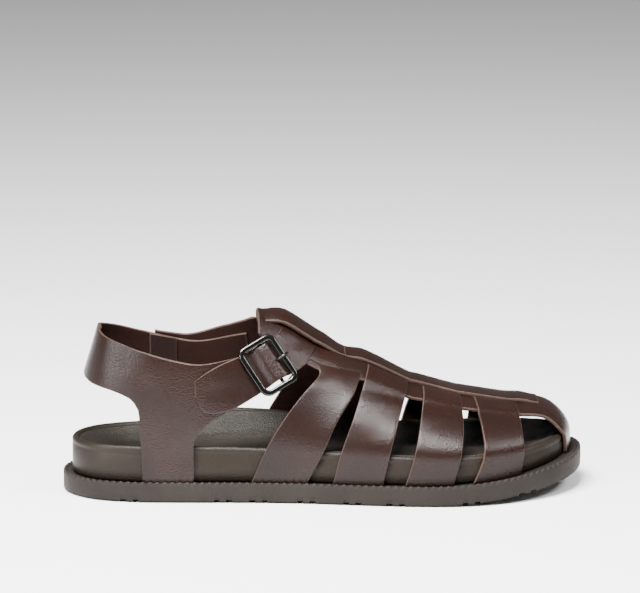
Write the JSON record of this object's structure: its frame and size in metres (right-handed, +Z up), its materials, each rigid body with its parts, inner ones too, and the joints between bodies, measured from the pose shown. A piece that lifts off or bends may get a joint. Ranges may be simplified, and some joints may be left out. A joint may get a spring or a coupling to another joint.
{
  "type": "fisherman sandal",
  "caption": "Closed-toe woven leather fisherman sandal for the right foot, with heel strap, moulded footbed, tooth-edged rubber sole and a centre-bar buckle on the outer side.",
  "frame": {"origin": "on the floor plane under the sole, at the middle of its length and width", "axes": "+X to the toe, +Y to the inner side of the foot, +Z up from the floor"},
  "size_m": [0.296, 0.1141, 0.1022],
  "materials": {
    "outsole": "matt grey-brown rubber, lightly scuffed",
    "footbed": "smooth olive-brown leather wrap with a soft sheen",
    "insole": "matt brown lining leather",
    "upper": "smooth dark reddish-brown leather with a waxed sheen",
    "buckle": "polished gunmetal"
  },
  "bodies": {
    "root": {"outsole": "outsole", "footbed": "footbed", "insole": "insole", "upper": "upper", "buckle_frame": "buckle", "buckle_prong": "buckle"}
  },
  "joints": []
}
